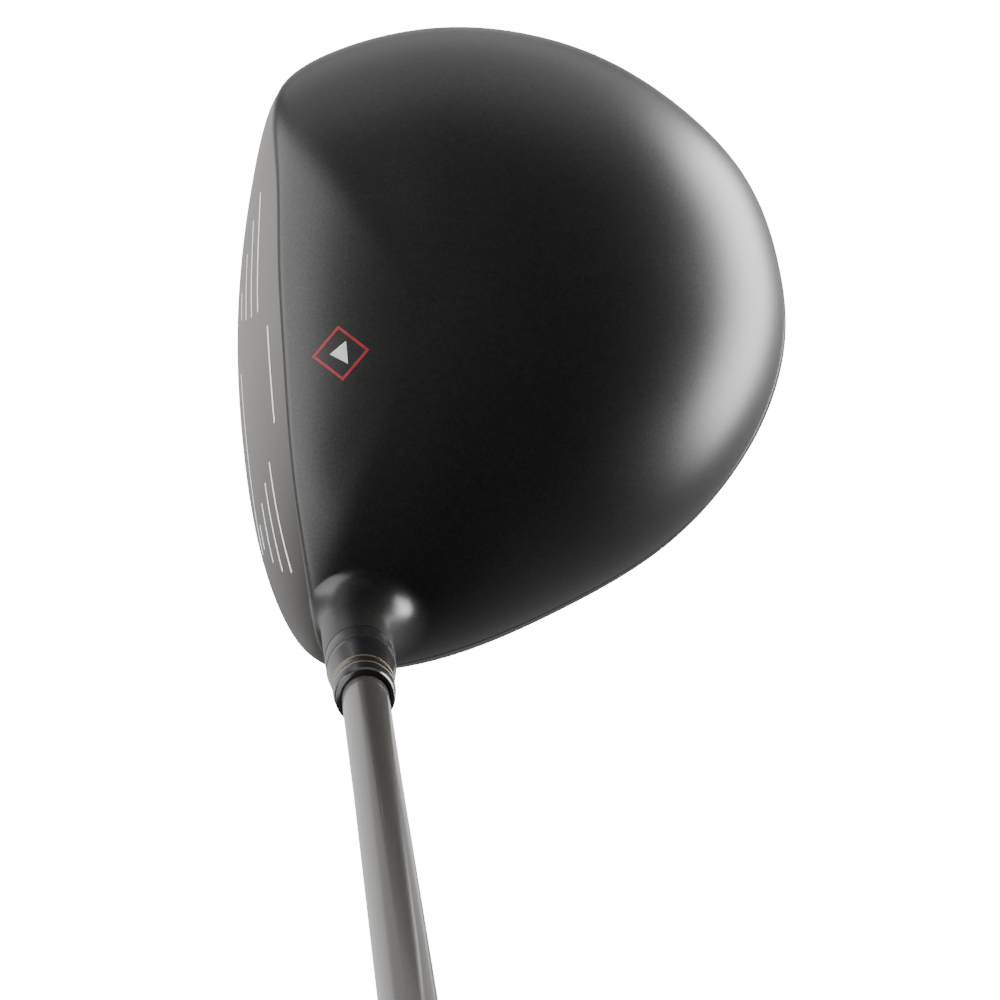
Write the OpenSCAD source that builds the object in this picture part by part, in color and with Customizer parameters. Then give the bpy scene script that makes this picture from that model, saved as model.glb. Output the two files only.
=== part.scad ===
// Golf driver, right-handed, in the address position. Millimetres, +Z up.
// Origin: the flat on the sole that rests on the ground, below the middle of the face.
// -X points at the target, +X to the back of the head, +Y to the toe, -Y to the player.
// s is the distance along the shaft's centre line, from where that line meets the ground.

/* [Club] */
// Angle between the ground and the shaft, degrees
lie = 58; // [57:0.5:59]
// Length along the shaft's centre line, ground to the end of the grip
club_length = 1156; // [1090:1:1168]
// Length of the grip
grip_length = 267; // [255:1:275]
// Where the shaft's centre line meets the ground
hosel_x = -14; // [-15:0.5:-13]
// The same point, towards the toe
hosel_y = -19.4; // [-20:0.2:-19]

/* [Head] */
// Height of the highest point of the crown
crown_z = 62.5; // [61.5:0.5:64]
// Thickness of the crown's skin
crown_skin = 0.9; // [0.7:0.1:1.2]
// Thickness of the sole's and skirt's skin
body_skin = 1.1; // [0.9:0.1:1.4]
// Thickness of the face, front to back
face_skin = 2.8; // [2.4:0.1:3.2]
// How far the middle of the face stands forward of a straight line from its top to its bottom
face_roll = 1.1; // [0.8:0.1:1.4]

/* [Hosel and shaft] */
// Outside radius of the hosel
hosel_r = 6.4; // [6.3:0.05:6.5]
// Where the hosel ends, along the shaft's centre line
hosel_top = 76.2; // [76:0.1:77]
// Outside radius of the shaft's tip
tip_r = 4.25; // [4.15:0.05:4.3]
// Outside radius of the shaft's butt
butt_r = 7.6; // [7.4:0.1:7.8]
// Radius of the key's way in, from the sole up to the hosel screw
access_r = 4.6; // [4.6:0.05:4.8]

/* [Rear weight] */
// Outside radius of the weight
weight_r = 7.8; // [7.4:0.1:7.8]
// Lean of the weight's axis, to stand square to the sole
weight_tilt = 17; // [16:0.5:18]

/* [Hidden] */
$fn = 64;
cols = 76;                              // columns round the head, 4 for each outline point
seat_s = 34.5;                          // underside of the shelf that the hosel screw pulls on
chamber_s = 26;                         // the screw's chamber starts here, as wide as the sleeve's bore
bore_r = 5.4;                           // hosel bore, for the sleeve
sleeve_r = 5.3;                         // 0.1 mm inside the hosel bore
sleeve_bottom = 38;
sleeve_top = 82.6;
shaft_bottom = 47;
thread_r = 2.5;
ferrule_top = 99.5;
trim_s = [91.7, 95.3];
trim_w = 0.6;
taper_s = 150;                          // the tip is parallel up to here
shaft_wall = 1.1;
grip_s = club_length - grip_length;
port_r = 9.4;
port_depth = 10;
weight_at = [52, 9, 7];                 // middle of the weight's outer face
flat_rho = 0.12;                        // inner part of the sole that is flat on the ground
face_cols = [-9, 12];                   // first and last column of the face, heel to toe
apex = [4, 4, crown_z];                 // highest point of the crown

// Edge of the crown: over the face from its middle to the toe, round the back, and to the heel
crown_line = [
    [-23.5, 0, 58], [-23, 20, 57], [-22, 40, 52.5], [-20.5, 57.5, 43],
    [-9, 68.3, 33.5], [10, 72.1, 31.3], [29.5, 70, 28.8], [47, 62.4, 26.5],
    [61.8, 49.5, 24.6], [70.9, 34.4, 23.2], [73.8, 16, 22.3], [70.8, 0, 22.3],
    [62.2, -15.7, 23], [46.4, -31.4, 24.5], [25, -42.8, 26.5], [3.2, -50.6, 29],
    [-17, -52.3, 31.5], [-22, -42.3, 44], [-23.5, -22, 55.3]
];

// Edge of the sole, point for point below the edge of the crown: the first is the leading edge
sole_line = [
    [-32, 0, 5], [-31.5, 20.5, 7], [-28.4, 41, 13], [-21.5, 60.3, 23],
    [-9, 69.3, 25.5], [10, 73.1, 24], [29.5, 70.8, 22], [47.4, 63.1, 20],
    [62.3, 49.9, 18.6], [71.5, 34.7, 17.6], [74.4, 16, 17], [71.2, 0, 17],
    [62.4, -15.2, 17.2], [46.4, -30.6, 18.2], [25, -42, 19.8], [3.2, -49.7, 21.5],
    [-16, -50.8, 22.5], [-25.6, -41.5, 17.5], [-30.4, -22, 9]
];

// ---- Surfaces of the head ----

// Smooth closed curve through the points p, at u counted in points
function curve(p, u) =
    let (n = len(p), i = floor(u), f = u - i)
    let (a = p[(i - 1 + n) % n], b = p[(i + n) % n], c = p[(i + 1) % n], d = p[(i + 2) % n])
    0.5 * (2 * b + (c - a) * f + (2 * a - 5 * b + 4 * c - d) * f * f
        + (3 * b - a - 3 * c + d) * f * f * f);

function step(t) = let (k = min(1, max(0, t))) k * k * (3 - 2 * k);
function column_u(j) = ((j + cols) % cols) * len(crown_line) / cols;
function flat_unit(v) = [v.x, v.y, 0] / norm([v.x, v.y]);

// 1 within full points of the face's middle, 0 beyond none points of it, smooth between
function frontness(u, full, none) =
    let (n = len(crown_line), away = abs((u - 0.2 + 1.5 * n) % n - n / 2))
    1 - step((away - full) / (none - full));

function face_share(j) = frontness(column_u(j), 2, 3.6);

function crown_edge(j) = curve(crown_line, column_u(j));
function sole_edge(j) = curve(sole_line, column_u(j));
function inward(j) = -flat_unit(crown_edge(j) - apex);

// Dome height from 1 at the middle to 0 at the edge
function dome(rho, roundness) = pow(1 - pow(rho, 2.4), 1 / roundness);

function crown_point(j, rho) =
    let (e = crown_edge(j), h = dome(rho, 2 - 0.6 * frontness(column_u(j), 0.5, 5.5)))
    [apex.x + (e.x - apex.x) * rho, apex.y + (e.y - apex.y) * rho, e.z + (apex.z - e.z) * h];

function sole_point(j, rho) =
    let (e = sole_edge(j), g = max(0, (rho - flat_rho) / (1 - flat_rho)))
    [e.x * rho, e.y * rho, e.z * (1 - pow(1 - pow(g, 1.8), 1 / 1.3))];

// The face in front and the skirt elsewhere: v is 0 at the crown's edge, 1 at the sole's
function band_point(j, v) =
    let (bulge = (0.3 + (face_roll - 0.3) * face_share(j)) * 4 * v * (1 - v))
    crown_edge(j) * (1 - v) + sole_edge(j) * v - inward(j) * bulge;

// Step from a crown or sole point to its inner side: level at the edge, upright in the middle
function through(j, rho, side, skin) =
    let (w = pow(rho, 4) * (side < 0 ? 1 - face_share(j) : 1))
    skin * (inward(j) * w + [0, 0, side] * sqrt(1 - w * w));

// Closed skin between two grids of points, with the cells that kept[row][column] marks
module skin_between(outer, inner, kept, top_cap = false, bottom_cap = false) {
    rows = len(outer);
    n = len(outer[0]);
    under = rows * n;
    function at(i, j) = i * n + (j + n) % n;
    function has(i, j) = i >= 0 && i < rows - 1 && kept[i][(j + n) % n];
    function rim(a, b) = [b, a, a + under, b + under];
    cells = [for (i = [0 : rows - 2]) for (j = [0 : n - 1]) if (has(i, j)) [i, j]];
    top = [for (j = [0 : n - 1]) at(0, j)];
    bottom = [for (j = [n - 1 : -1 : 0]) at(rows - 1, j)];
    polyhedron(
        points = concat([for (r = outer) each r], [for (r = inner) each r]),
        faces = concat(
            [for (c = cells) let (i = c[0], j = c[1])
                [at(i, j), at(i + 1, j), at(i + 1, j + 1), at(i, j + 1)]],
            [for (c = cells) let (i = c[0], j = c[1])
                [under + at(i, j + 1), under + at(i + 1, j + 1), under + at(i + 1, j), under + at(i, j)]],
            [for (c = cells) let (i = c[0], j = c[1])
                if (!has(i, j - 1)) rim(at(i, j), at(i + 1, j))],
            [for (c = cells) let (i = c[0], j = c[1])
                if (!has(i, j + 1)) rim(at(i + 1, j + 1), at(i, j + 1))],
            [for (c = cells) let (i = c[0], j = c[1])
                if (!has(i + 1, j) && !(bottom_cap && i == rows - 2)) rim(at(i + 1, j), at(i + 1, j + 1))],
            [for (c = cells) let (i = c[0], j = c[1])
                if (!has(i - 1, j) && !(top_cap && i == 0)) rim(at(i, j + 1), at(i, j))],
            top_cap ? [top, [for (k = [n - 1 : -1 : 0]) under + top[k]]] : [],
            bottom_cap ? [bottom, [for (k = [n - 1 : -1 : 0]) under + bottom[k]]] : []
        )
    );
}

// ---- Placing ----

module on_shaft() {
    translate([hosel_x, hosel_y, 0]) rotate([90 - lie, 0, 0]) children();
}

// Origin at the middle of the weight's outer face, +Z into the head
module on_weight() {
    translate(weight_at) rotate([0, -weight_tilt, 0]) children();
}

module tube(r_out, r_in, from, to) {
    difference() {
        translate([0, 0, from]) cylinder(r = r_out, h = to - from);
        translate([0, 0, from - 1]) cylinder(r = r_in, h = to - from + 2);
    }
}

module lock_keys(width, reach, from, to) {
    for (k = [0 : 7])
        rotate([0, 0, 45 * k])
            translate([4.8, -width / 2, from]) cube([reach - 4.8, width, to - from]);
}

// ---- Head ----

module crown() {
    rings = [for (k = [1 : 11]) sin(90 * k / 11)];
    kept = [for (k = rings) [for (j = [1 : cols]) true]];
    color("#1b1b1d")
        resize([0, 0, 0])
            difference() {
                skin_between(
                    [for (rho = rings) [for (j = [0 : cols - 1]) crown_point(j, rho)]],
                    [for (rho = rings) [for (j = [0 : cols - 1])
                        crown_point(j, rho) + through(j, rho, -1, crown_skin)]],
                    kept, top_cap = true);
                on_shaft() translate([0, 0, 20]) cylinder(r = hosel_r + 0.15, h = 60);
            }
}

module sole_body() {
    bands = [0, 0.33, 0.67];
    rings = [for (k = [10 : -1 : 2]) sin(9 * k)];
    inner_band = [for (v = bands) [for (j = [0 : cols - 1]) band_point(j, v) + body_skin * inward(j)]];
    inner_sole = [for (rho = rings) [for (j = [0 : cols - 1])
        sole_point(j, rho) + through(j, rho, 1, body_skin)]];
    flat = [for (j = [0 : cols - 1]) sole_point(j, flat_rho)];
    kept = [for (i = [0 : 12]) [for (j = [0 : cols - 1])
        i >= 3 || (j >= face_cols[1] && j < face_cols[0] + cols)]];
    color("#262628")
        resize([0, 0, 0])
            difference() {
                skin_between(
                    concat([for (v = bands) [for (j = [0 : cols - 1]) band_point(j, v)]],
                        [for (rho = rings) [for (j = [0 : cols - 1]) sole_point(j, rho)]], [flat]),
                    concat(inner_band, inner_sole, [[for (p = flat) p + [0, 0, body_skin]]]),
                    kept, bottom_cap = true);
                on_shaft() translate([0, 0, -10]) cylinder(r = access_r + 0.1, h = 30);
                on_weight() translate([0, 0, -20]) cylinder(r = port_r + 0.1, h = 40);
                on_shaft() translate([0, 0, 20]) cylinder(r = hosel_r + 0.15, h = 60);
            }
}

module face_plate() {
    span = [face_cols[0] : face_cols[1]];
    top = (crown_skin + 0.1) / 50;
    rows = [top, 0.2, 0.4, 0.6, 0.8, 0.99];
    kept = [for (v = rows) [for (j = span) j < face_cols[1]]];
    color("#8c867e")
        skin_between(
            [for (v = rows) [for (j = span) band_point(j, v)]],
            [for (v = rows) [for (j = span) band_point(j, v) + face_skin * inward(j)]],
            kept);
}

// Tube through the head: sleeve bore above the shelf, screw chamber and the key's way in below it
module hosel() {
    color("#202022")
        difference() {
            on_shaft() difference() {
                cylinder(r = hosel_r, h = hosel_top);
                translate([0, 0, -1]) cylinder(r = access_r, h = chamber_s + 2);
                translate([0, 0, chamber_s]) cylinder(r = bore_r, h = seat_s - chamber_s);
                cylinder(r = 2.8, h = hosel_top);
                translate([0, 0, seat_s + 2]) cylinder(r = bore_r, h = hosel_top);
                lock_keys(1.9, bore_r + 0.55, hosel_top - 3.2, hosel_top + 1);
            }
            translate([hosel_x, hosel_y - 2.1, 4.8]) rotate([-14, 6, 0])
                translate([-25, -25, -40]) cube([50, 50, 40]);
        }
}

module weight_port() {
    color("#3a3a3c")
        on_weight() difference() {
            translate([0, 0, 0.4]) cylinder(r = port_r, h = port_depth + 5);
            translate([0, 0, -1]) cylinder(r = weight_r + 0.3, h = port_depth - 2);
            cylinder(r = 3.06, h = port_depth + 6);
            translate([0, 0, port_depth + 0.6]) difference() {
                cylinder(r = port_r + 1, h = 6);
                translate([0, 0, -1]) cylinder(r = 5.2, h = 8);
            }
        }
}

// ---- Shaft side ----

module adapter_sleeve() {
    color("#2b2b2e")
        on_shaft() difference() {
            union() {
                translate([0, 0, sleeve_bottom]) cylinder(r = sleeve_r, h = hosel_top - sleeve_bottom + 1);
                translate([0, 0, hosel_top + 0.15])
                    cylinder(r = hosel_r - 0.15, h = sleeve_top - hosel_top - 0.15);
                lock_keys(1.6, bore_r + 0.4, hosel_top - 3, hosel_top + 0.5);
            }
            translate([0, 0, sleeve_bottom - 1]) cylinder(r = thread_r + 0.06, h = 12);
            translate([0, 0, shaft_bottom]) cylinder(r = tip_r + 0.03, h = 60);
        }
}

module ferrule() {
    low = sleeve_top;
    color("#121213")
        on_shaft() rotate_extrude()
            difference() {
                polygon([
                    [tip_r + 0.04, low], [5.95, low], [5.95, low + 1.5], [5.6, trim_s[0] - 1],
                    [5.6, trim_s[1] + 1], [5.4, trim_s[1] + 2.4], [4.95, ferrule_top - 0.5],
                    [4.5, ferrule_top], [tip_r + 0.04, ferrule_top]
                ]);
                for (s = trim_s)
                    translate([5.15, s - trim_w / 2 - 0.02]) square([2, trim_w + 0.04]);
            }
}

module trim_ring(s) {
    color("#a5834f")
        on_shaft() tube(5.63, 5.17, s - trim_w / 2, s + trim_w / 2);
}

module trim_ring_low() trim_ring(trim_s[0]);

module trim_ring_high() trim_ring(trim_s[1]);

module shaft() {
    top = club_length - 4;
    color("#6d6b69")
        on_shaft() rotate_extrude()
            polygon([
                [tip_r - shaft_wall, shaft_bottom], [tip_r, shaft_bottom], [tip_r, taper_s],
                [butt_r, top], [butt_r - shaft_wall, top], [tip_r - shaft_wall, taper_s]
            ]);
}

module tip_plug() {
    color("#b08d45")
        on_shaft() translate([0, 0, shaft_bottom + 0.2]) cylinder(r = tip_r - shaft_wall - 0.05, h = 22);
}

// Outside radius of the shaft at s, on its taper
function shaft_r(s) = tip_r + (butt_r - tip_r) * (s - taper_s) / (club_length - 4 - taper_s);

module grip_tape() {
    low = grip_s + 1;
    high = club_length - 5;
    color("#d8d2c2")
        on_shaft() rotate_extrude()
            polygon([
                [shaft_r(low) + 0.02, low], [shaft_r(low) + 0.2, low],
                [shaft_r(high) + 0.2, high], [shaft_r(high) + 0.02, high]
            ]);
}

module grip() {
    low = grip_s;
    high = club_length - 3.6;
    color("#1a1a1b")
        on_shaft() rotate_extrude()
            polygon([
                [shaft_r(low) + 0.25, low], [9.3, low], [9.8, low + 1.2], [10.2, low + 60],
                [13.1, high - 40], [13.6, high - 6], [13.9, high], [shaft_r(high) + 0.25, high]
            ]);
}

module grip_cap() {
    low = club_length - 3.5;
    color("#101011")
        on_shaft() difference() {
            union() {
                translate([0, 0, low]) cylinder(r = 15, h = 2);
                translate([0, 0, low + 2]) cylinder(r1 = 15, r2 = 13.5, h = 1.5);
            }
            translate([0, 0, low - 1]) cylinder(r = 1.6, h = 6);
        }
}

// ---- Hosel screw, held in the head and turned from the sole ----

module hosel_screw() {
    head_top = seat_s - 1.5;
    color("#9a9a9d")
        on_shaft() difference() {
            union() {
                translate([0, 0, head_top - 4.5]) cylinder(r = 4.2, h = 4.5);
                translate([0, 0, head_top - 0.5]) cylinder(r = thread_r, h = 13.5);
            }
            translate([0, 0, head_top - 5]) cylinder(r = 2.3, h = 3.3, $fn = 6);
        }
}

module screw_washer() {
    color("#c9c9cc")
        on_shaft() tube(4.5, thread_r + 0.1, seat_s - 1.4, seat_s - 0.15);
}

module screw_clip() {
    color("#77777a")
        on_shaft() tube(4.4, thread_r + 0.02, seat_s + 2.15, seat_s + 3.1);
}

// ---- Rear weight, screwed into its port ----

module weight_seal() {
    color("#0d0d0e")
        on_weight() tube(7.2, 3.2, port_depth - 4.1, port_depth - 3.1);
}

module rear_weight() {
    color("#8f9094")
        on_weight() difference() {
            union() {
                cylinder(r = weight_r, h = port_depth - 4.2);
                translate([0, 0, port_depth - 5]) cylinder(r = 3, h = 9);
            }
            translate([0, 0, -1]) cylinder(r = 2.6, h = 4.2, $fn = 6);
            for (k = [0 : 1])
                rotate([0, 0, 180 * k])
                    translate([5.6, 0, -0.1]) cylinder(r = 0.6, h = 0.6);
        }
}

sole_body();
crown();
face_plate();
hosel();
weight_port();
adapter_sleeve();
ferrule();
trim_ring_low();
trim_ring_high();
shaft();
tip_plug();
grip_tape();
grip();
grip_cap();
hosel_screw();
screw_washer();
screw_clip();
weight_seal();
rear_weight();
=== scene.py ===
"""Looks of the golf driver. Millimetres in the tables and shape functions, metres in Blender."""

import math

import bpy
import numpy as np
from mathutils import Matrix, Vector
from mathutils.bvhtree import BVHTree

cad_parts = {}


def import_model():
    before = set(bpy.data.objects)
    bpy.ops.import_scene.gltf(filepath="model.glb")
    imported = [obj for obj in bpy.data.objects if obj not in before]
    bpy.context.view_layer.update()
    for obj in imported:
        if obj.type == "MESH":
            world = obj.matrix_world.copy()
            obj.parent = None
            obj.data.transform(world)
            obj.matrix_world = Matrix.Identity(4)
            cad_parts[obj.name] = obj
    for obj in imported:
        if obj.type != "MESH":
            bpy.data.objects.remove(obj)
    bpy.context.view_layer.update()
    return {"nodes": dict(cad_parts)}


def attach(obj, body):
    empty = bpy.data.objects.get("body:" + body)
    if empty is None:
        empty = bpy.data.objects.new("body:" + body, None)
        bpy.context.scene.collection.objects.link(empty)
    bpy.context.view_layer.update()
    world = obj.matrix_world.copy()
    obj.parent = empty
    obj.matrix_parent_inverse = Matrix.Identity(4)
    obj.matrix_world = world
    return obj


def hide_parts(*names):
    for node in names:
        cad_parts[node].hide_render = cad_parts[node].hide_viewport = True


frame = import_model()
MM = 0.001

# ---------------------------------------------------------------- dimensions, as in the CAD part

LIE = math.radians(58)
HOSEL_FOOT = np.array([-14.0, -19.4, 0.0])      # where the shaft's centre line meets the ground
ALONG = np.array([0.0, -math.cos(LIE), math.sin(LIE)])
HOSEL_R = 6.4
HOSEL_TOP = 76.2
SLEEVE_TOP = 82.6
FERRULE_TOP = 99.5
TRIM_S = (91.7, 95.3)
TIP_R = 4.25
BUTT_R = 7.6
TAPER_S = 150.0
SHAFT_TOP = 1152.0
CLUB_LENGTH = 1156.0
GRIP_S = 889.0
WEIGHT_AT = np.array([52.0, 9.0, 7.0])
WEIGHT_TILT = math.radians(17)
WEIGHT_IN = np.array([-math.sin(WEIGHT_TILT), 0.0, math.cos(WEIGHT_TILT)])

APEX = np.array([4.0, 4.0, 62.5])
CROWN_LINE = np.array([
    (-23.5, 0, 58), (-23, 20, 57), (-22, 40, 52.5), (-20.5, 57.5, 43),
    (-9, 68.3, 33.5), (10, 72.1, 31.3), (29.5, 70, 28.8), (47, 62.4, 26.5),
    (61.8, 49.5, 24.6), (70.9, 34.4, 23.2), (73.8, 16, 22.3), (70.8, 0, 22.3),
    (62.2, -15.7, 23), (46.4, -31.4, 24.5), (25, -42.8, 26.5), (3.2, -50.6, 29),
    (-17, -52.3, 31.5), (-22, -42.3, 44), (-23.5, -22, 55.3)])
SOLE_LINE = np.array([
    (-32, 0, 5), (-31.5, 20.5, 7), (-28.4, 41, 13), (-21.5, 60.3, 23),
    (-9, 69.3, 25.5), (10, 73.1, 24), (29.5, 70.8, 22), (47.4, 63.1, 20),
    (62.3, 49.9, 18.6), (71.5, 34.7, 17.6), (74.4, 16, 17), (71.2, 0, 17),
    (62.4, -15.2, 17.2), (46.4, -30.6, 18.2), (25, -42, 19.8), (3.2, -49.7, 21.5),
    (-16, -50.8, 22.5), (-25.6, -41.5, 17.5), (-30.4, -22, 9)])
POINTS = len(CROWN_LINE)
FACE_FROM, FACE_TO = -2.7, 3.0                  # the face's ends, in outline points
EDGE_ROUND = 1.3                                # radius of the crown's front edge
FACE_ROLL = 1.1
FLAT_RHO = 0.12

# ---------------------------------------------------------------- dimensions of the looks only

FACE_MIDDLE = 0.2                               # in outline points
CROWN_SKIN = 0.9
BODY_SKIN = 1.1
KEY_HOLE_R = 4.7
PORT_HOLE_R = 9.5
OVER_CAD = 0.03                                 # how far the hosel's paint stands over the CAD tube
SCORE_WIDTH = 1.0
MARK_AT = (-12.8, -0.6)
MARK_REACH = 5.0                                # from the mark's middle to each corner
MARK_LINE = 0.5
IN_FRONT = -70.0                                # x where rays at the face start
ABOVE = 90.0                                    # z where rays at the crown start
UP_SHAFT = 120                                  # s where rays down the shaft's axis start
JOINT_ROUND = 0.1
FERRULE_ROUND = 0.12
PITS_ROUND = 12
PIT_DEPTH = 0.22

SURROUND_LEVEL = 16.0
LIGHT_DISTANCE = 1.5                            # metres
HEAD_MIDDLE = Vector((20, 10, 35)) * MM
CAMERA_AT = Vector((-33.9, -317.6, 1064.9)) * MM
CAMERA_LEAN = (math.radians(2.74), math.radians(16.59))     # their sines are the slopes to +X and +Y
CAMERA_ROLL = math.radians(-5.2)
SENSOR_WIDTH = 36
FOCAL_RATIO = 5.699                             # focal length in sensor widths

# ---------------------------------------------------------------- shape functions


def closed_spline(points, u):
    """Smooth closed curve with continuous curvature through the points, at u counted in points."""
    n = len(points)
    system = 4 * np.eye(n) + np.roll(np.eye(n), 1, 0) + np.roll(np.eye(n), -1, 0)
    rise = np.linalg.solve(system, 3 * (np.roll(points, -1, 0) - np.roll(points, 1, 0)))
    i = np.floor(u).astype(int)
    f = (u - i)[:, None]
    a, b = points[i % n], points[(i + 1) % n]
    m, k = rise[i % n], rise[(i + 1) % n]
    return (a * (1 + 2 * f) * (1 - f) ** 2 + m * f * (1 - f) ** 2
            + b * f ** 2 * (3 - 2 * f) - k * f ** 2 * (1 - f))


def smooth_step(t):
    t = np.clip(t, 0, 1)
    return t * t * (3 - 2 * t)


def frontness(u, full, none):
    """1 within full points of the face's middle, 0 beyond none, smooth between."""
    away = np.abs((u - FACE_MIDDLE + POINTS / 2) % POINTS - POINTS / 2)
    return 1 - smooth_step((away - full) / (none - full))


def dome(rho, roundness):
    """Height of the crown from 1 at the apex to 0 at its edge."""
    return np.maximum(0, 1 - rho ** 2.4) ** (1 / roundness)


def bowl(g):
    """Rise of the sole from 0 at its flat to 1 at its edge."""
    return 1 - (1 - g ** 1.8) ** (1 / 1.3)


def quarter_round(distance, radius):
    """Drop of a rounded edge at a distance from it, from the radius to 0."""
    left = np.clip(radius - distance, 0, radius)
    return radius - np.sqrt(radius ** 2 - left ** 2)


def inward(u):
    """Level directions from the outline to the axis through the apex."""
    out = closed_spline(CROWN_LINE, u) - APEX
    out[:, 2] = 0
    return -out / np.linalg.norm(out, axis=1)[:, None]


def crown_rows(u, rhos):
    """Rows of crown points from near the apex to the edge, which is rounded over the face."""
    edge = closed_spline(CROWN_LINE, u)
    round_r = EDGE_ROUND * frontness(u, 2.2, 3.8)
    span = np.linalg.norm((edge - APEX)[:, :2], axis=1)
    rows = []
    for rho in rhos:
        p = APEX + (edge - APEX) * rho
        p[:, 2] = edge[:, 2] + (APEX[2] - edge[:, 2]) * dome(rho, 2 - 0.6 * frontness(u, 0.5, 5.5))
        p[:, 2] -= np.array([quarter_round(d, r) if r > 0.01 else 0.0
                             for d, r in zip(span * (1 - rho), round_r)])
        rows.append(p)
    return rows


def band_rows(u, shares):
    """Face in front and skirt elsewhere, from the crown's edge (0) to the sole's (1)."""
    top = closed_spline(CROWN_LINE, u)
    top[:, 2] -= EDGE_ROUND * frontness(u, 2.2, 3.8)
    low = closed_spline(SOLE_LINE, u)
    bulge = 0.3 + (FACE_ROLL - 0.3) * frontness(u, 2.0, 3.6)
    back = inward(u)
    return [top * (1 - v) + low * v - back * (bulge * 4 * v * (1 - v))[:, None] for v in shares]


def sole_rows(u, rhos):
    """Rows of sole points at shares rho of the way from the origin to the sole's edge."""
    edge = closed_spline(SOLE_LINE, u)
    rows = []
    for rho in rhos:
        g = max(0.0, (rho - FLAT_RHO) / (1 - FLAT_RHO))
        p = edge * rho
        p[:, 2] = edge[:, 2] * bowl(g)
        rows.append(p)
    return rows


# ---------------------------------------------------------------- mesh helpers


class Axis:
    """A centre line with two directions square to it, to turn profiles round."""

    def __init__(self, foot, along, side):
        self.foot, self.along, self.side = foot, along, side
        self.third = np.cross(along, side)

    def at(self, r, angle, s):
        return self.foot + self.along * s + r * (math.cos(angle) * self.side
                                                 + math.sin(angle) * self.third)


SHAFT_AXIS = Axis(HOSEL_FOOT, ALONG, np.array([1.0, 0.0, 0.0]))
WEIGHT_AXIS = Axis(WEIGHT_AT, WEIGHT_IN, np.array([0.0, 1.0, 0.0]))


def grid_faces(rows, columns, closed=True, flip=False):
    """Quads between rows of points, outward where rows go down and columns clockwise."""
    quads = []
    for i in range(rows - 1):
        for j in range(columns if closed else columns - 1):
            k = (j + 1) % columns
            quad = (i * columns + j, i * columns + k, (i + 1) * columns + k, (i + 1) * columns + j)
            quads.append(quad[::-1] if flip else quad)
    return quads


def new_mesh(name, points, faces, sharp_deg=35):
    mesh = bpy.data.meshes.new(name)
    mesh.from_pydata([tuple(float(c) * MM for c in p) for p in points], [], faces)
    mesh.validate()
    mesh.shade_smooth()
    mesh.set_sharp_from_angle(angle=math.radians(sharp_deg))
    return mesh


def make_piece(name, mesh, material, body, stands_for=None):
    mesh.materials.clear()
    mesh.materials.append(material)
    piece = bpy.data.objects.new(name, mesh)
    bpy.context.scene.collection.objects.link(piece)
    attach(piece, body)
    if stands_for:
        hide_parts(stands_for)
    return piece


def turned(name, profile, axis, segments=128, sharp_deg=35, relief=None, closed=False):
    """Mesh of an (r, s) profile turned round an axis. relief(angle, s) adds to the radius."""
    points = []
    for r, s in profile:
        for k in range(segments):
            angle = 2 * math.pi * k / segments
            points.append(axis.at(r + (relief(angle, s) if relief else 0.0), angle, s))
    faces = grid_faces(len(profile), segments)
    if closed:
        last = (len(profile) - 1) * segments
        faces.append(tuple(reversed(range(segments))))
        faces.append(tuple(last + k for k in range(segments)))
    return new_mesh(name, points, faces, sharp_deg)


def rounded(profile, radius, steps=4):
    """The open (r, s) profile with every corner between its ends rounded."""
    out = [profile[0]]
    for a, b, c in zip(profile, profile[1:], profile[2:]):
        a, b, c = Vector(a), Vector(b), Vector(c)
        cut = min(radius, (a - b).length / 2.1, (c - b).length / 2.1)
        start, end = b + (a - b).normalized() * cut, b + (c - b).normalized() * cut
        for k in range(steps + 1):
            f = k / steps
            out.append(tuple(start * (1 - f) ** 2 + b * (2 * f * (1 - f)) + end * f ** 2))
    out.append(profile[-1])
    return out


def with_modifiers(mesh, *settings):
    """The mesh after modifiers, each given as (type, {setting: value})."""
    holder = bpy.data.objects.new("holder", mesh)
    bpy.context.scene.collection.objects.link(holder)
    for kind, values in settings:
        modifier = holder.modifiers.new(kind.lower(), kind)
        for key, value in values.items():
            setattr(modifier, key, value)
    bpy.context.view_layer.update()
    ready = holder.evaluated_get(bpy.context.evaluated_depsgraph_get())
    result = bpy.data.meshes.new_from_object(ready)
    bpy.data.objects.remove(holder)
    return result


def drilled(mesh, cutters):
    """The mesh with each cutter mesh taken out of it."""
    for cutter in cutters:
        drill = bpy.data.objects.new("drill", cutter)
        bpy.context.scene.collection.objects.link(drill)
        mesh = with_modifiers(mesh, ("BOOLEAN", {"operation": "DIFFERENCE", "object": drill,
                                                 "solver": "EXACT"}))
        bpy.data.objects.remove(drill)
    return mesh


# ---------------------------------------------------------------- materials


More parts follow.
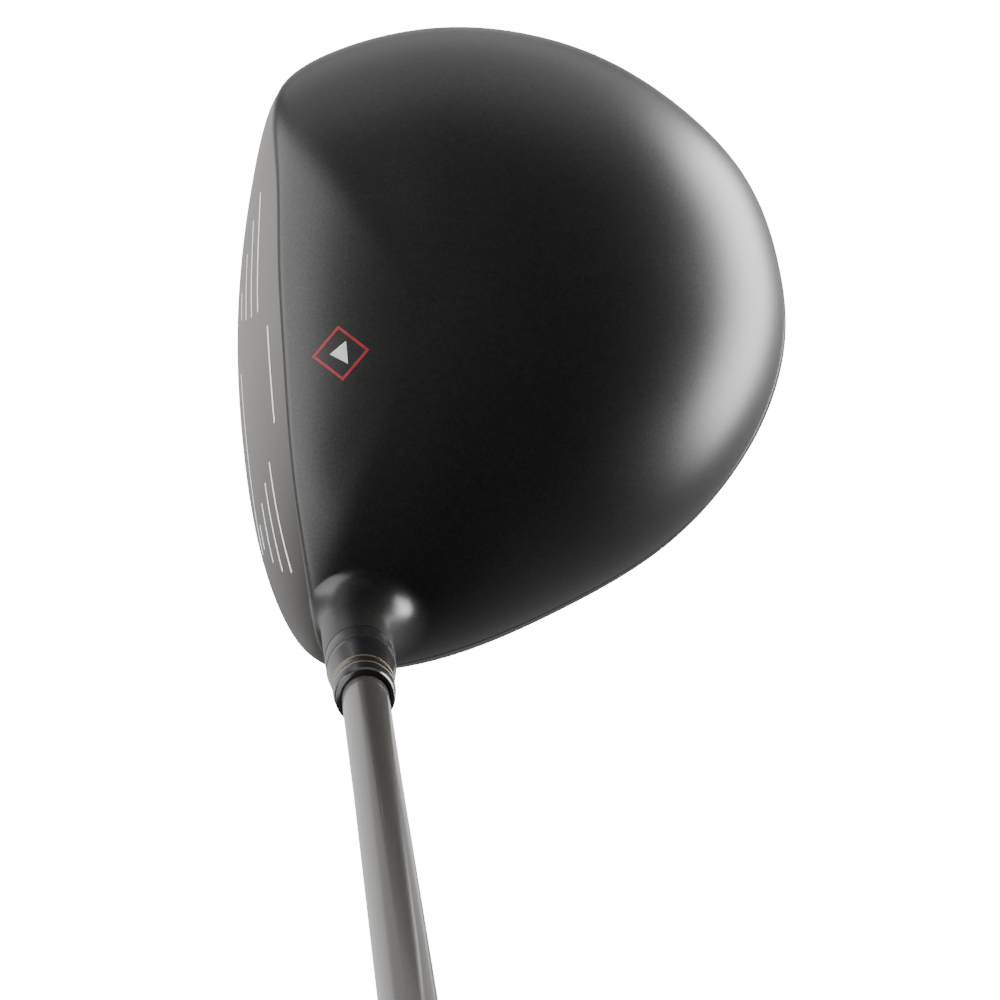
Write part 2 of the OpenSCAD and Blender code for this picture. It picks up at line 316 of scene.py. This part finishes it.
class Nodes:
    """A short way to write a material's node tree."""

    def __init__(self, name):
        self.material = bpy.data.materials.new(name)
        self.material.use_nodes = True
        self.tree = self.material.node_tree
        self.shader = self.tree.nodes["Principled BSDF"]

    def add(self, kind, **inputs):
        node = self.tree.nodes.new(kind)
        for key, value in inputs.items():
            self.set(node, key, value)
        return node

    def set(self, node, key, value):
        socket = node.inputs[int(key[1:])] if key[0] == "i" and key[1:].isdigit() else node.inputs[key]
        if isinstance(value, bpy.types.NodeSocket):
            self.tree.links.new(value, socket)
        else:
            socket.default_value = value

    def math(self, operation, a, b):
        node = self.add("ShaderNodeMath", i0=a, i1=b)
        node.operation = operation
        return node.outputs[0]

    def place(self, scale=(1, 1, 1)):
        where = self.add("ShaderNodeTexCoord")
        mapping = self.add("ShaderNodeMapping", Vector=where.outputs["Object"], Scale=scale)
        return mapping.outputs[0]

    def noise(self, scale, detail=2.0, roughness=0.5, stretch=(1, 1, 1)):
        node = self.add("ShaderNodeTexNoise", Vector=self.place(stretch), Scale=scale,
                        Detail=detail, Roughness=roughness)
        return node.outputs["Fac"]

    def ramp(self, value, stops):
        node = self.add("ShaderNodeValToRGB", Fac=value)
        points = node.color_ramp.elements
        while len(points) < len(stops):
            points.new(0.5)
        for point, (at, colour) in zip(points, stops):
            point.position = at
            point.color = (*colour, 1.0)
        return node.outputs["Color"]

    def span(self, value, low, high, start=0.0, end=1.0):
        """Low to high as the value goes from start to end."""
        node = self.add("ShaderNodeMapRange", Value=value, **{
            "From Min": start, "From Max": end, "To Min": low, "To Max": high})
        return node.outputs[0]

    def bump(self, height, strength, distance):
        node = self.add("ShaderNodeBump", Height=height, Strength=strength, Distance=distance * MM)
        self.set(self.shader, "Normal", node.outputs[0])

    def plain(self, **inputs):
        for key, value in inputs.items():
            self.set(self.shader, key.replace("_", " "), value)


def grey(level):
    return (level, level, level)


def crown_paint():
    m = Nodes("crown_paint")
    grain = m.noise(2600, 2.0)
    soft = m.noise(60, 3.0)
    m.plain(Base_Color=m.ramp(grain, [(0.35, (0.005, 0.005, 0.005)), (0.75, (0.018, 0.0172, 0.0168))]),
            Roughness=m.span(soft, 0.33, 0.39), Metallic=0.0)
    m.bump(grain, 0.12, 0.03)
    return m.material


def body_paint():
    m = Nodes("body_paint")
    grain = m.noise(1800, 2.0)
    soft = m.noise(45, 3.0)
    m.plain(Base_Color=m.ramp(grain, [(0.3, (0.009, 0.009, 0.010)), (0.8, (0.024, 0.024, 0.026))]),
            Roughness=m.span(soft, 0.30, 0.38))
    m.bump(grain, 0.1, 0.02)
    return m.material


def face_metal():
    """Brushed grey metal, with painted shade that makes it a little darker towards the heel."""
    m = Nodes("face_metal")
    brush = m.noise(300, 4.0, 0.6, (1, 1, 14))
    blast = m.noise(4000, 1.0)
    across = m.add("ShaderNodeSeparateXYZ", Vector=m.place()).outputs["Y"]
    # painted shade: the face's colour runs darker towards the heel, which reflects less of the lamps
    shade = m.span(across, 0.1, 0.8, start=-0.045, end=0.01)
    heel_shade_and_brush = m.math("ADD", shade, m.math("MULTIPLY", brush, 0.2))
    m.plain(Base_Color=m.ramp(heel_shade_and_brush, [(0.25, (0.055, 0.052, 0.048)), (1.0, (0.25, 0.235, 0.215))]),
            Roughness=m.span(blast, 0.36, 0.46), Metallic=0.85)
    m.bump(m.math("ADD", brush, m.math("MULTIPLY", blast, 0.5)), 0.15, 0.02)
    return m.material


def line_paint():
    m = Nodes("line_paint")
    fleck = m.noise(900, 2.0)
    m.plain(Base_Color=m.ramp(fleck, [(0.3, grey(0.84)), (0.7, grey(0.95))]), Roughness=0.5)
    return m.material


def mark_paint(name, dark, light):
    m = Nodes(name)
    fleck = m.noise(700, 2.0)
    m.plain(Base_Color=m.ramp(fleck, [(0.3, dark), (0.7, light)]), Roughness=0.42)
    return m.material


def gloss_black():
    m = Nodes("gloss_black")
    fine = m.noise(300, 1.0)
    m.plain(Base_Color=m.ramp(fine, [(0.3, (0.008, 0.008, 0.008)), (0.8, (0.011, 0.011, 0.011))]),
            Roughness=m.span(fine, 0.22, 0.24))
    return m.material


def sleeve_black():
    m = Nodes("sleeve_black")
    fine = m.noise(1200, 2.0)
    m.plain(Base_Color=m.ramp(fine, [(0.3, (0.010, 0.010, 0.011)), (0.8, (0.022, 0.022, 0.023))]),
            Roughness=m.span(fine, 0.31, 0.33), Metallic=0.3)
    return m.material


def trim_gold():
    m = Nodes("trim_gold")
    fine = m.noise(900, 2.0)
    m.plain(Base_Color=m.ramp(fine, [(0.3, (0.17, 0.138, 0.09)), (0.8, (0.20, 0.165, 0.11))]),
            Roughness=m.span(fine, 0.34, 0.38), Metallic=0.7)
    return m.material


def shaft_coat():
    m = Nodes("shaft_coat")
    fine = m.noise(1500, 2.0)
    wide = m.noise(25, 2.0)
    m.plain(Base_Color=m.ramp(fine, [(0.3, (0.098, 0.092, 0.085)), (0.8, (0.108, 0.102, 0.094))]),
            Roughness=m.span(wide, 0.2, 0.26), Metallic=0.6)
    m.plain(Coat_Weight=0.5, Coat_Roughness=0.08)
    return m.material


def grip_rubber():
    m = Nodes("grip_rubber")
    pebble = m.noise(900, 2.0)
    m.plain(Base_Color=m.ramp(pebble, [(0.3, (0.012, 0.012, 0.012)), (0.8, (0.028, 0.028, 0.028))]),
            Roughness=m.span(pebble, 0.62, 0.8))
    m.bump(pebble, 0.4, 0.08)
    return m.material


def steel():
    m = Nodes("steel")
    lathe = m.noise(500, 3.0)
    m.plain(Base_Color=m.ramp(lathe, [(0.3, (0.42, 0.42, 0.43)), (0.8, (0.58, 0.58, 0.59))]),
            Roughness=m.span(lathe, 0.26, 0.38), Metallic=1.0)
    return m.material


CROWN_PAINT = crown_paint()
BODY_PAINT = body_paint()
FACE_METAL = face_metal()
GLOSS_BLACK = gloss_black()
SLEEVE_BLACK = sleeve_black()
TRIM_GOLD = trim_gold()
SHAFT_COAT = shaft_coat()
GRIP_RUBBER = grip_rubber()
STEEL = steel()
LINE_PAINT = line_paint()
MARK_RED = mark_paint("mark_red", (0.30, 0.012, 0.022), (0.40, 0.02, 0.035))
MARK_WHITE = mark_paint("mark_white", grey(0.70), grey(0.85))
TAPE = mark_paint("tape", (0.60, 0.56, 0.47), (0.72, 0.68, 0.58))
SEAL = mark_paint("seal_rubber", grey(0.008), grey(0.02))

# ---------------------------------------------------------------- head

COLUMNS = POINTS * 24
ALL_U = np.arange(COLUMNS) * POINTS / COLUMNS
CROWN_RHOS = np.sin(np.linspace(0.02, 1, 110) * math.pi / 2)


def head_surface():
    """All of the head's outside, to cast rays at."""
    rows = crown_rows(ALL_U, CROWN_RHOS)
    rows += band_rows(ALL_U, np.linspace(0.03, 1, 30))
    rows += sole_rows(ALL_U, np.sin(np.linspace(0.98, 0.06, 60) * math.pi / 2))
    return BVHTree.FromPolygons([tuple(p) for p in np.vstack(rows)], grid_faces(len(rows), COLUMNS))


SURFACE = head_surface()


def crown_piece():
    """The crown as one sheet, turned in along its edge."""
    rows = crown_rows(ALL_U, CROWN_RHOS)
    rows.append(rows[-1] + inward(ALL_U) * CROWN_SKIN)
    points = [*np.vstack(rows), APEX]
    faces = grid_faces(len(rows), COLUMNS)
    faces += [(COLUMNS * len(rows), (j + 1) % COLUMNS, j) for j in range(COLUMNS)]
    make_piece("crown_skin", new_mesh("crown_skin", points, faces, 50), CROWN_PAINT,
               "head", "crown")


def skirt_and_sole():
    """The body's outside as one open sheet, from the crown's edge down, open at the face."""
    band = band_rows(ALL_U, np.linspace(0, 1, 10))
    rows = band + sole_rows(ALL_U, np.sin(np.linspace(0.985, 0.06, 60) * math.pi / 2))
    faces = []
    for n, quad in enumerate(grid_faces(len(rows), COLUMNS)):
        row, column = divmod(n, COLUMNS)
        u = ALL_U[column]
        if row >= len(band) - 1 or FACE_TO <= u < FACE_FROM + POINTS:
            faces.append(quad)
    last = (len(rows) - 1) * COLUMNS
    faces.append(tuple(reversed(range(last, last + COLUMNS))))
    return new_mesh("body_skin", np.vstack(rows), faces)


def body_piece():
    """The body's shell, with the hole for the key and the port for the weight."""
    mesh = with_modifiers(skirt_and_sole(), ("SOLIDIFY", {"thickness": BODY_SKIN * MM, "offset": -1}))
    key_hole = turned("key_hole", [(5.6, -8), (KEY_HOLE_R, 8), (KEY_HOLE_R, 24)],
                      SHAFT_AXIS, 64, closed=True)
    port_hole = turned("port_hole", [(12, -6), (PORT_HOLE_R, 1.2), (PORT_HOLE_R, 14)],
                       WEIGHT_AXIS, 64, closed=True)
    mesh = drilled(mesh, [key_hole, port_hole])
    make_piece("body_skin", mesh, BODY_PAINT, "head", "sole_body")


def face_piece():
    u = np.linspace(FACE_FROM, FACE_TO, 140) % POINTS
    rows = band_rows(u, np.linspace(0, 1, 60))
    mesh = new_mesh("face_skin", np.vstack(rows), grid_faces(len(rows), len(u), closed=False))
    make_piece("face_skin", mesh, FACE_METAL, "head", "face_plate")


def on_surface(origin, direction):
    """Where a ray from origin meets the head, and the surface's outward normal there."""
    hit, normal, _, _ = SURFACE.ray_cast(Vector(origin), Vector(direction))
    if normal.dot(Vector(direction)) > 0:
        normal = -normal
    return np.array(hit), np.array(normal)


def ribbon(name, edges, direction, material, lift=0.04):
    """A painted strip laid on the head between two lists of points, cast along a direction."""
    points = []
    for pair in edges:
        for point in pair:
            hit, normal = on_surface(point, direction)
            points.append(hit + normal * lift)
    faces = grid_faces(len(edges), 2, closed=False)
    mesh = new_mesh(name, points, faces)
    if mesh.polygons[0].normal.dot(Vector(direction)) > 0:
        mesh.flip_normals()
    make_piece(name, mesh, material, "head")


# Height, heel end and toe end of each painted line on the face
SCORE_LINES = [
    (38, 16.2, 40), (31, 17.5, 36.8), (24, 19.3, 32.5), (17, 21.6, 27.2),
    (46.5, -8.5, 10.6), (13, -24.5, 12),
    (38, -35.3, -13.5), (31, -33, -15.5), (24, -29.2, -17.4), (17, -24.6, -19.6)]


def score_lines():
    for n, (z, heel, toe) in enumerate(SCORE_LINES):
        steps = np.linspace(heel, toe, 30)
        half = SCORE_WIDTH / 2
        edges = [((IN_FRONT, y, z - half), (IN_FRONT, y, z + half)) for y in steps]
        ribbon(f"score_line_{n + 1}", edges, (1, 0, 0), LINE_PAINT)


def outline(corners, width, steps=8):
    """Pairs of points either side of a closed line through the corners, high above the crown."""
    corners = [Vector(c) for c in corners]
    mitres = []
    for before, corner, after in zip(corners[-1:] + corners, corners, corners[1:] + corners[:1]):
        into, out = (corner - before).normalized(), (after - corner).normalized()
        side = Vector((-(into + out).y, (into + out).x)).normalized()
        mitres.append(side * (width / 2) / side.dot(Vector((-into.y, into.x))))
    pairs = []
    for i, corner in enumerate(corners):
        k = (i + 1) % len(corners)
        for f in np.arange(steps + 1) / steps:
            middle, side = corner.lerp(corners[k], f), mitres[i].lerp(mitres[k], f)
            pairs.append(((*(middle - side), ABOVE), (*(middle + side), ABOVE)))
    return pairs


def alignment_mark():
    """A plain aiming mark: a diamond outline with a solid arrowhead that points at the target."""
    x, y = MARK_AT
    diamond = [(x - MARK_REACH, y), (x, y - MARK_REACH), (x + MARK_REACH, y), (x, y + MARK_REACH)]
    ribbon("mark_diamond", outline(diamond, MARK_LINE), (0, 0, -1), MARK_RED)
    arrowhead = [((x - 2 + f, y + 0.7 * f, ABOVE), (x - 2 + f, y - 0.7 * f, ABOVE))
                 for f in np.linspace(0.05, 3.2, 12)]
    ribbon("mark_arrowhead", arrowhead, (0, 0, -1), MARK_WHITE)


# Width and height of the sweep round the hosel, every 45 degrees from the rear by the toe and face
FILLET = np.array([[8, 13], [5.5, 13], [4.2, 12], [3.1, 9], [1.6, 3], [1.5, 2], [4.5, 5], [7, 9]])


def hosel_fillet():
    """Sweeps the head's skin up into the neck of the hosel."""
    count, rings = 144, 40
    angles = np.arange(count) * 2 * math.pi / count
    sizes = closed_spline(FILLET, np.arange(count) * len(FILLET) / count)
    points = []
    for f in np.linspace(0, 1, rings) ** 1.8:
        for angle, (width, height) in zip(angles, sizes):
            origin = SHAFT_AXIS.at(HOSEL_R + OVER_CAD + f * width, angle, UP_SHAFT)
            hit, normal = on_surface(origin, -ALONG)
            rise = height * (1 - math.sqrt(1 - (1 - f) ** 2))
            points.append(hit + ALONG * rise + normal * 0.02)
    mesh = new_mesh("hosel_fillet", points, grid_faces(rings, count, flip=True), 60)
    make_piece("hosel_fillet", mesh, CROWN_PAINT, "head")


crown_piece()
body_piece()
face_piece()
score_lines()
alignment_mark()
hosel_fillet()

# ---------------------------------------------------------------- hosel, sleeve and ferrule


def neck():
    """The hosel's outside above the fillet, with its rim broken."""
    outside, bore = HOSEL_R + OVER_CAD, 5.45
    profile = rounded([(outside, 40), (outside, HOSEL_TOP), (bore, HOSEL_TOP)], JOINT_ROUND)
    mesh = turned("hosel_neck", profile + [(bore, HOSEL_TOP - 3)], SHAFT_AXIS)
    make_piece("hosel_neck", mesh, CROWN_PAINT, "head")


def sleeve_collar():
    low, high = HOSEL_TOP + 0.05, SLEEVE_TOP - 0.03
    profile = rounded([(5.3, low), (6.36, low), (6.36, high), (4.5, high)], JOINT_ROUND)
    mesh = turned("sleeve_collar", profile, SHAFT_AXIS)
    make_piece("sleeve_collar", mesh, SLEEVE_BLACK, "shaft_assembly")


def ferrule():
    """The ferrule's outside, with a groove for each trim ring."""
    low, high = TRIM_S
    land, floor, half = 5.6, 5.3, 0.32
    profile = [(4.3, SLEEVE_TOP), (6.3, SLEEVE_TOP), (6.2, SLEEVE_TOP + 1.5), (5.62, low - 1)]
    for s in (low, high):
        profile += [(land, s - half), (floor, s - half), (floor, s + half), (land, s + half)]
    profile += [(5.6, high + 1), (5.45, FERRULE_TOP - 1), (5.2, FERRULE_TOP - 0.4),
                (4.5, FERRULE_TOP), (4.26, FERRULE_TOP)]
    mesh = turned("ferrule_shell", rounded(profile, FERRULE_ROUND, 3), SHAFT_AXIS)
    make_piece("ferrule_shell", mesh, GLOSS_BLACK, "shaft_assembly", "ferrule")


def trim_ring(node, s):
    inner, outer, half = 5.25, 5.66, 0.3
    profile = rounded([(inner, s - half), (outer, s - half), (outer, s + half), (inner, s + half)],
                      FERRULE_ROUND, 3)
    mesh = turned(node + "_band", profile, SHAFT_AXIS)
    make_piece(node + "_band", mesh, TRIM_GOLD, "shaft_assembly", node)


# ---------------------------------------------------------------- shaft and grip


def shaft_radius(s):
    return TIP_R + (BUTT_R - TIP_R) * max(0.0, s - TAPER_S) / (SHAFT_TOP - TAPER_S)


def shaft():
    stations = [60, 90, 120, TAPER_S, *range(200, 1150, 50), SHAFT_TOP]
    mesh = turned("shaft_tube", [(shaft_radius(s), s) for s in stations], SHAFT_AXIS, 160)
    make_piece("shaft_tube", mesh, SHAFT_COAT, "shaft_assembly", "shaft")


GRIP_PROFILE = [(8.0, GRIP_S), (9.3, GRIP_S), (9.8, GRIP_S + 1.2), (10.2, GRIP_S + 60),
                (13.1, 1112.4), (13.6, 1146.4), (13.9, 1152.4)]


def grip_radius(s):
    r, at = zip(*GRIP_PROFILE[1:])
    return float(np.interp(s, at, r))


def grip_relief(angle, s):
    """Rows of shallow pits all round, between plain bands at the ends."""
    inside = smooth_step((s - GRIP_S - 14) / 3) * smooth_step((1136 - s) / 3)
    weave = math.cos(PITS_ROUND * angle + s * 0.9) * math.cos(PITS_ROUND * angle - s * 0.9)
    return -PIT_DEPTH * float(inside) * max(0.0, weave) ** 2


def grip():
    stations = np.concatenate([[GRIP_S, GRIP_S + 0.5, GRIP_S + 1.2, GRIP_S + 4],
                               np.arange(GRIP_S + 12, 1138, 0.7), [1146.4, 1150, 1152.4]])
    profile = [(8.0, GRIP_S)] + [(grip_radius(s), s) for s in stations]
    mesh = turned("grip_sleeve", profile, SHAFT_AXIS, 144, relief=grip_relief)
    make_piece("grip_sleeve", mesh, GRIP_RUBBER, "shaft_assembly", "grip")


def grip_cap():
    low = CLUB_LENGTH - 3.5
    profile = [(13.2, low), (15, low), (15, low + 2), (13.5, low + 3.5), (3, low + 3.5),
               (3, low + 3), (1.6, low + 3), (1.6, low)]
    mesh = turned("grip_cap_end", rounded(profile, 0.5), SHAFT_AXIS, 144)
    make_piece("grip_cap_end", mesh, GRIP_RUBBER, "shaft_assembly", "grip_cap")


neck()
sleeve_collar()
ferrule()
trim_ring("trim_ring_low", TRIM_S[0])
trim_ring("trim_ring_high", TRIM_S[1])
shaft()
grip()
grip_cap()

for node, material in {
    "hosel": CROWN_PAINT, "weight_port": BODY_PAINT, "adapter_sleeve": SLEEVE_BLACK,
    "tip_plug": TRIM_GOLD, "grip_tape": TAPE, "hosel_screw": STEEL, "screw_washer": STEEL,
    "screw_clip": STEEL, "weight_seal": SEAL, "rear_weight": STEEL,
}.items():
    frame["nodes"][node].data.materials.clear()
    frame["nodes"][node].data.materials.append(material)

# ---------------------------------------------------------------- floor, light and camera


def seen_only(piece):
    """Marks a pale surround that the camera sees, and that throws no light or reflection."""
    piece.visible_diffuse = False
    piece.visible_glossy = False
    piece.visible_transmission = False
    piece.visible_shadow = False


def surround():
    """A plain pale floor under a plain pale sky, both many metres wide."""
    m = Nodes("surround")
    m.plain(Base_Color=(0, 0, 0, 1), Roughness=1.0, Specular_IOR_Level=0.0)
    m.plain(Emission_Color=(1, 1, 1, 1), Emission_Strength=SURROUND_LEVEL)
    for name, radius, height in (("floor", 22, 0), ("sky", 20, 20)):
        turns = [(radius * math.cos(a), height * math.sin(a))
                 for a in np.linspace(0, math.pi / 2, 16 if height else 2)]
        up = Axis(np.zeros(3), np.array([0.0, 0.0, 1.0]), np.array([1.0, 0.0, 0.0]))
        mesh = turned(name, [(r / MM, z / MM) for r, z in turns], up, 64)
        mesh.materials.append(m.material)
        piece = bpy.data.objects.new(name, mesh)
        bpy.context.scene.collection.objects.link(piece)
        seen_only(piece)


def soft_box(name, azimuth, elevation, wide, high, radiance):
    """A soft light seen from the head in a direction and as wide and high as these angles."""
    azimuth, elevation = math.radians(azimuth), math.radians(elevation)
    towards = Vector((math.cos(elevation) * math.cos(azimuth),
                      math.cos(elevation) * math.sin(azimuth), math.sin(elevation)))
    lamp = bpy.data.lights.new(name, "AREA")
    lamp.shape = "RECTANGLE"
    lamp.size = 2 * LIGHT_DISTANCE * math.tan(math.radians(wide / 2))
    lamp.size_y = 2 * LIGHT_DISTANCE * math.tan(math.radians(high / 2))
    lamp.energy = radiance * math.pi * lamp.size * lamp.size_y
    holder = bpy.data.objects.new(name, lamp)
    holder.location = HEAD_MIDDLE + towards * LIGHT_DISTANCE
    holder.rotation_euler = towards.to_track_quat("Z", "Y").to_euler()
    holder.visible_camera = False
    bpy.context.scene.collection.objects.link(holder)


def world():
    """Dim above, paler below, as over a white table."""
    shade = bpy.data.worlds.new("studio")
    shade.use_nodes = True
    tree = shade.node_tree
    where = tree.nodes.new("ShaderNodeTexCoord")
    split = tree.nodes.new("ShaderNodeSeparateXYZ")
    ramp = tree.nodes.new("ShaderNodeMapRange")
    tree.links.new(where.outputs["Generated"], split.inputs[0])
    tree.links.new(split.outputs["Z"], ramp.inputs["Value"])
    ramp.inputs["From Min"].default_value = -0.7
    ramp.inputs["From Max"].default_value = 0.1
    ramp.inputs["To Min"].default_value = 0.35
    ramp.inputs["To Max"].default_value = 0.025
    tree.links.new(ramp.outputs[0], tree.nodes["Background"].inputs["Color"])
    bpy.context.scene.world = shade


def camera():
    """The player's view, from above the grip's side."""
    lens = bpy.data.cameras.new("camera")
    lens.sensor_width = SENSOR_WIDTH
    lens.lens = FOCAL_RATIO * SENSOR_WIDTH
    lens.clip_start, lens.clip_end = 0.01, 60
    holder = bpy.data.objects.new("camera", lens)
    ahead = Vector((math.sin(CAMERA_LEAN[0]), math.sin(CAMERA_LEAN[1]), -1)).normalized()
    right = ahead.cross(Vector((0, 1, 0))).normalized()
    up = right.cross(ahead)
    right, up = (right * math.cos(CAMERA_ROLL) + up * math.sin(CAMERA_ROLL),
                 up * math.cos(CAMERA_ROLL) - right * math.sin(CAMERA_ROLL))
    turn = Matrix((right, up, -ahead)).transposed().to_4x4()
    holder.matrix_world = Matrix.Translation(CAMERA_AT) @ turn
    bpy.context.scene.collection.objects.link(holder)
    bpy.context.scene.camera = holder


surround()
world()
soft_box("rear_light", 14, -14, 66, 32, 22)
soft_box("face_light", 168, 22, 76, 80, 4.6)
soft_box("toe_light", 88, -2, 60, 60, 1.1)
soft_box("toe_table_light", 110, -62, 50, 40, 0.7)
camera()
